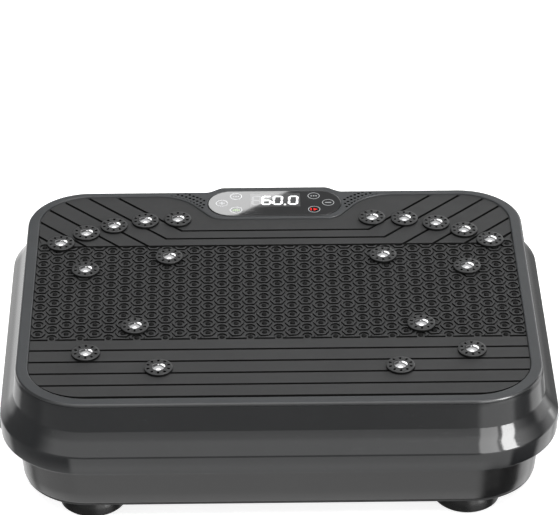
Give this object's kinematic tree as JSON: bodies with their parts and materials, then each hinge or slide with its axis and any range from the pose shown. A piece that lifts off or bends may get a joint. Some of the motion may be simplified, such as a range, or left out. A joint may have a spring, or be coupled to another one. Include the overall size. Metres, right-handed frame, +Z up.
{
  "type": "vibration plate",
  "caption": "Low rocking vibration plate: rounded deck with embossed mat, magnetic massage knobs, display console, flared glossy skirt, satin base, suction feet and a belt-driven rocking drive.",
  "frame": {"origin": "on the floor under the middle of the plate", "axes": "+Z up, +X to the user's right when they face the console, +Y towards the console; the front edge is -Y"},
  "size_m": [0.5372, 0.408, 0.1357],
  "materials": {
    "gloss_shell": "polished moulded skirt",
    "rim": "fine satin moulding",
    "mat": "embossed non-slip mat",
    "knob": "satin, with a bright magnet dome in the middle",
    "lens": "polished smoked acrylic",
    "electronics": "bare circuit board",
    "base": "satin moulding",
    "black_plastic": "fine texture",
    "black_rubber": "smooth, slightly shiny",
    "steel": "zinc-plated or ground",
    "cast_metal": "as cast"
  },
  "bodies": {
    "base": {"power_board": "electronics", "base_shell": "base", "bottom_plate": "black_plastic", "power_inlet": "black_plastic", "foot_front_left": "black_rubber", "foot_front_right": "black_rubber", "foot_rear_left": "black_rubber", "foot_rear_right": "black_rubber", "buffer_front_left": "black_rubber", "buffer_front_right": "black_rubber", "buffer_rear_left": "black_rubber", "buffer_rear_right": "black_rubber", "drive_belt": "black_rubber", "rock_shaft": "steel", "motor_cradle": "steel", "band_loop_left": "steel", "band_loop_right": "steel", "motor_body": "cast_metal", "bearing_block_left": "cast_metal", "bearing_block_right": "cast_metal", "rock_block_front": "cast_metal", "rock_block_rear": "cast_metal"},
    "deck": {"upper_shell": "gloss_shell", "deck_rim": "rim", "mat": "mat", "deck_plate": "steel", "display_lens": "lens", "display_module": "electronics", "speaker_left": "black_plastic", "speaker_right": "black_plastic", "deck_hanger_front": "steel", "deck_hanger_rear": "steel", "rod_bracket_left": "steel", "rod_bracket_right": "steel", "knob_left_01": "knob", "knob_right_01": "knob", "knob_left_02": "knob", "knob_right_02": "knob", "knob_left_03": "knob", "knob_right_03": "knob", "knob_left_04": "knob", "knob_right_04": "knob", "knob_left_05": "knob", "knob_right_05": "knob", "knob_left_06": "knob", "knob_right_06": "knob", "knob_left_07": "knob", "knob_right_07": "knob", "knob_left_08": "knob", "knob_right_08": "knob", "knob_left_09": "knob", "knob_right_09": "knob", "knob_left_10": "knob", "knob_right_10": "knob"},
    "crank": {"crank_shaft": "steel", "crank_pulley": "cast_metal"},
    "motor_rotor": {"motor_pulley": "steel"},
    "rod_left": {"rod_left": "cast_metal"},
    "rod_right": {"rod_right": "cast_metal"},
    "power_switch": {"power_switch": "black_plastic"}
  },
  "joints": [
    {"name": "deck_rock", "type": "hinge", "parent": "base", "child": "deck", "pos_m": [0, 0, 0.088], "axis": [0, 1, 0], "range_deg": [-1.2, 1.2], "stiffness_Nm_per_rad": 900},
    {"name": "crank_spin", "type": "hinge", "parent": "base", "child": "crank", "pos_m": [0, 0, 0.048], "axis": [1, 0, 0], "continuous": true},
    {"name": "motor_spin", "type": "hinge", "parent": "base", "child": "motor_rotor", "pos_m": [0.05, -0.075, 0.05], "axis": [1, 0, 0], "continuous": true},
    {"name": "rod_left_turn", "type": "hinge", "parent": "crank", "child": "rod_left", "pos_m": [-0.11, 0.0023, 0.048], "axis": [1, 0, 0], "continuous": true},
    {"name": "rod_right_turn", "type": "hinge", "parent": "crank", "child": "rod_right", "pos_m": [0.11, -0.0023, 0.048], "axis": [1, 0, 0], "continuous": true},
    {"name": "switch_rock", "type": "hinge", "parent": "base", "child": "power_switch", "pos_m": [0.108, 0.1884, 0.042], "axis": [1, 0, 0], "range_deg": [-9, 9]}
  ],
  "couplings": [
    {"joint": "motor_spin", "follows": "crank_spin", "ratio": 2},
    {"joint": "rod_left_turn", "follows": "crank_spin", "ratio": -1},
    {"joint": "rod_right_turn", "follows": "crank_spin", "ratio": -1}
  ]
}
